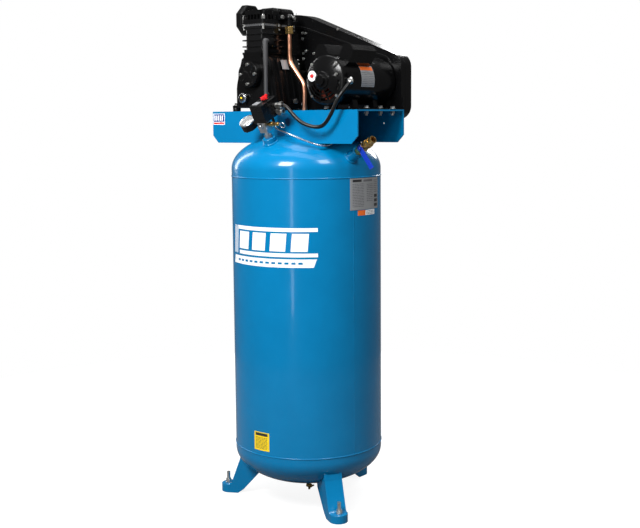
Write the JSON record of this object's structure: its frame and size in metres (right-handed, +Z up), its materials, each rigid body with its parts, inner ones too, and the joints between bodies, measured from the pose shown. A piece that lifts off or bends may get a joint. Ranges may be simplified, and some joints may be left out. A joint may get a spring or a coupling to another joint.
{
  "type": "vertical air compressor",
  "caption": "Belt-driven piston air compressor with its pump and motor on a platform welded to the top of an upright air tank on splayed legs",
  "frame": {"origin": "on the tank's axis at floor level", "axes": "+Z up along the tank's axis, +X along the platform from the pump towards the motor, -Y towards the front where the pressure switch stands, +Y towards the belt guard"},
  "size_m": [0.7371, 0.5779, 1.712],
  "materials": {
    "tank_paint": "gloss",
    "black_paint": "satin",
    "black_casting": "satin",
    "bright_steel": "satin",
    "zinc": "satin",
    "brass": "satin",
    "copper": "satin",
    "black_plastic": "satin",
    "rubber": "matte",
    "red_plastic": "gloss",
    "blue_sleeve": "gloss",
    "windings": "matte",
    "filter_foam": "matte",
    "sight": "gloss"
  },
  "bodies": {
    "compressor": {"tank_shell": "tank_paint", "top_head": "tank_paint", "bottom_head": "tank_paint", "tank_bungs": "tank_paint", "leg_front_left": "tank_paint", "leg_front_right": "tank_paint", "leg_rear": "tank_paint", "foot_bolts": "zinc", "platform": "tank_paint", "drain_cock": "brass", "crankcase": "black_casting", "bearing_cover": "black_casting", "pump_fasteners": "zinc", "oil_sight_glass": "sight", "breather_tube": "black_paint", "mounting_bolts": "zinc", "cylinder_block": "black_casting", "valve_plate": "bright_steel", "cylinder_head": "black_casting", "filter_base": "black_plastic", "filter_cover": "black_plastic", "filter_element": "filter_foam", "discharge_elbow": "black_casting", "tube_nuts": "brass", "discharge_tube": "copper", "check_valve": "brass", "pistons": "bright_steel", "crank_bearings": "bright_steel", "drive_belt": "rubber", "motor_shell": "black_paint", "motor_front_bell": "black_paint", "motor_rear_bell": "black_paint", "motor_base": "black_paint", "capacitor_covers": "black_paint", "stator": "windings", "motor_gland": "zinc", "guard_front_panel": "black_paint", "guard_rear_shell": "black_paint", "guard_brackets": "zinc", "manifold": "brass", "gauge_case": "black_plastic", "safety_valve": "brass", "pressure_switch": "black_plastic", "cable_connectors": "zinc", "power_lead": "rubber", "unloader_tube": "bright_steel", "outlet_valve": "brass", "data_plate": "bright_steel"},
    "crank": {"crankshaft": "bright_steel", "flywheel": "black_casting"},
    "rod_front": {"con_rod_front": "bright_steel"},
    "rod_rear": {"con_rod_rear": "bright_steel"},
    "motor_rotor": {"rotor": "bright_steel", "motor_pulley": "black_casting"},
    "lever": {"outlet_lever": "blue_sleeve"},
    "knob": {"switch_knob": "red_plastic"},
    "needle": {"gauge_needle": "black_plastic"},
    "pull": {"safety_pull": "bright_steel"},
    "button": {"reset_button": "red_plastic"},
    "drain": {"drain_key": "brass"}
  },
  "joints": [
    {"name": "crank_spin", "type": "hinge", "parent": "compressor", "child": "crank", "pos_m": [-0.174, 0, 1.47], "axis": [0, 1, 0], "continuous": true},
    {"name": "rod_front_spin", "type": "hinge", "parent": "crank", "child": "rod_front", "pos_m": [-0.152, -0.028, 1.47], "axis": [0, 1, 0], "continuous": true},
    {"name": "rod_rear_spin", "type": "hinge", "parent": "crank", "child": "rod_rear", "pos_m": [-0.196, 0.058, 1.47], "axis": [0, 1, 0], "continuous": true},
    {"name": "motor_spin", "type": "hinge", "parent": "compressor", "child": "motor_rotor", "pos_m": [0.195, 0, 1.439], "axis": [0, 1, 0], "continuous": true},
    {"name": "outlet_lever_turn", "type": "hinge", "parent": "compressor", "child": "lever", "pos_m": [0.29953, -0.06367, 1.22821], "axis": [-0.0733, -0.9672, -0.2434], "range_deg": [0, 90]},
    {"name": "switch_knob_turn", "type": "hinge", "parent": "compressor", "child": "knob", "pos_m": [0.016, -0.21999, 1.38185], "axis": [0, -0.4384, 0.8988], "range_deg": [0, 90]},
    {"name": "gauge_needle_turn", "type": "hinge", "parent": "compressor", "child": "needle", "pos_m": [-0.068, -0.20869, 1.30392], "axis": [0, 0.6561, -0.7547], "range_deg": [0, 270], "stiffness_Nm_per_rad": 0.0001, "springref_deg": -28.65},
    {"name": "safety_ring_pull", "type": "slide", "parent": "compressor", "child": "pull", "axis": [1, 0, 0], "range_m": [0, 0.003], "stiffness_N_per_m": 600, "springref_m": -0.002},
    {"name": "motor_reset_press", "type": "slide", "parent": "compressor", "child": "button", "axis": [0, 1, 0], "range_m": [0, 0.003], "stiffness_N_per_m": 300, "springref_m": -0.002},
    {"name": "drain_cock_turn", "type": "hinge", "parent": "compressor", "child": "drain", "pos_m": [0, 0, 0.031], "axis": [1, 0, 0], "range_deg": [0, 90]}
  ],
  "couplings": [
    {"joint": "rod_front_spin", "follows": "crank_spin", "ratio": -1},
    {"joint": "rod_rear_spin", "follows": "crank_spin", "ratio": -1},
    {"joint": "motor_spin", "follows": "crank_spin", "ratio": 3.4545}
  ]
}
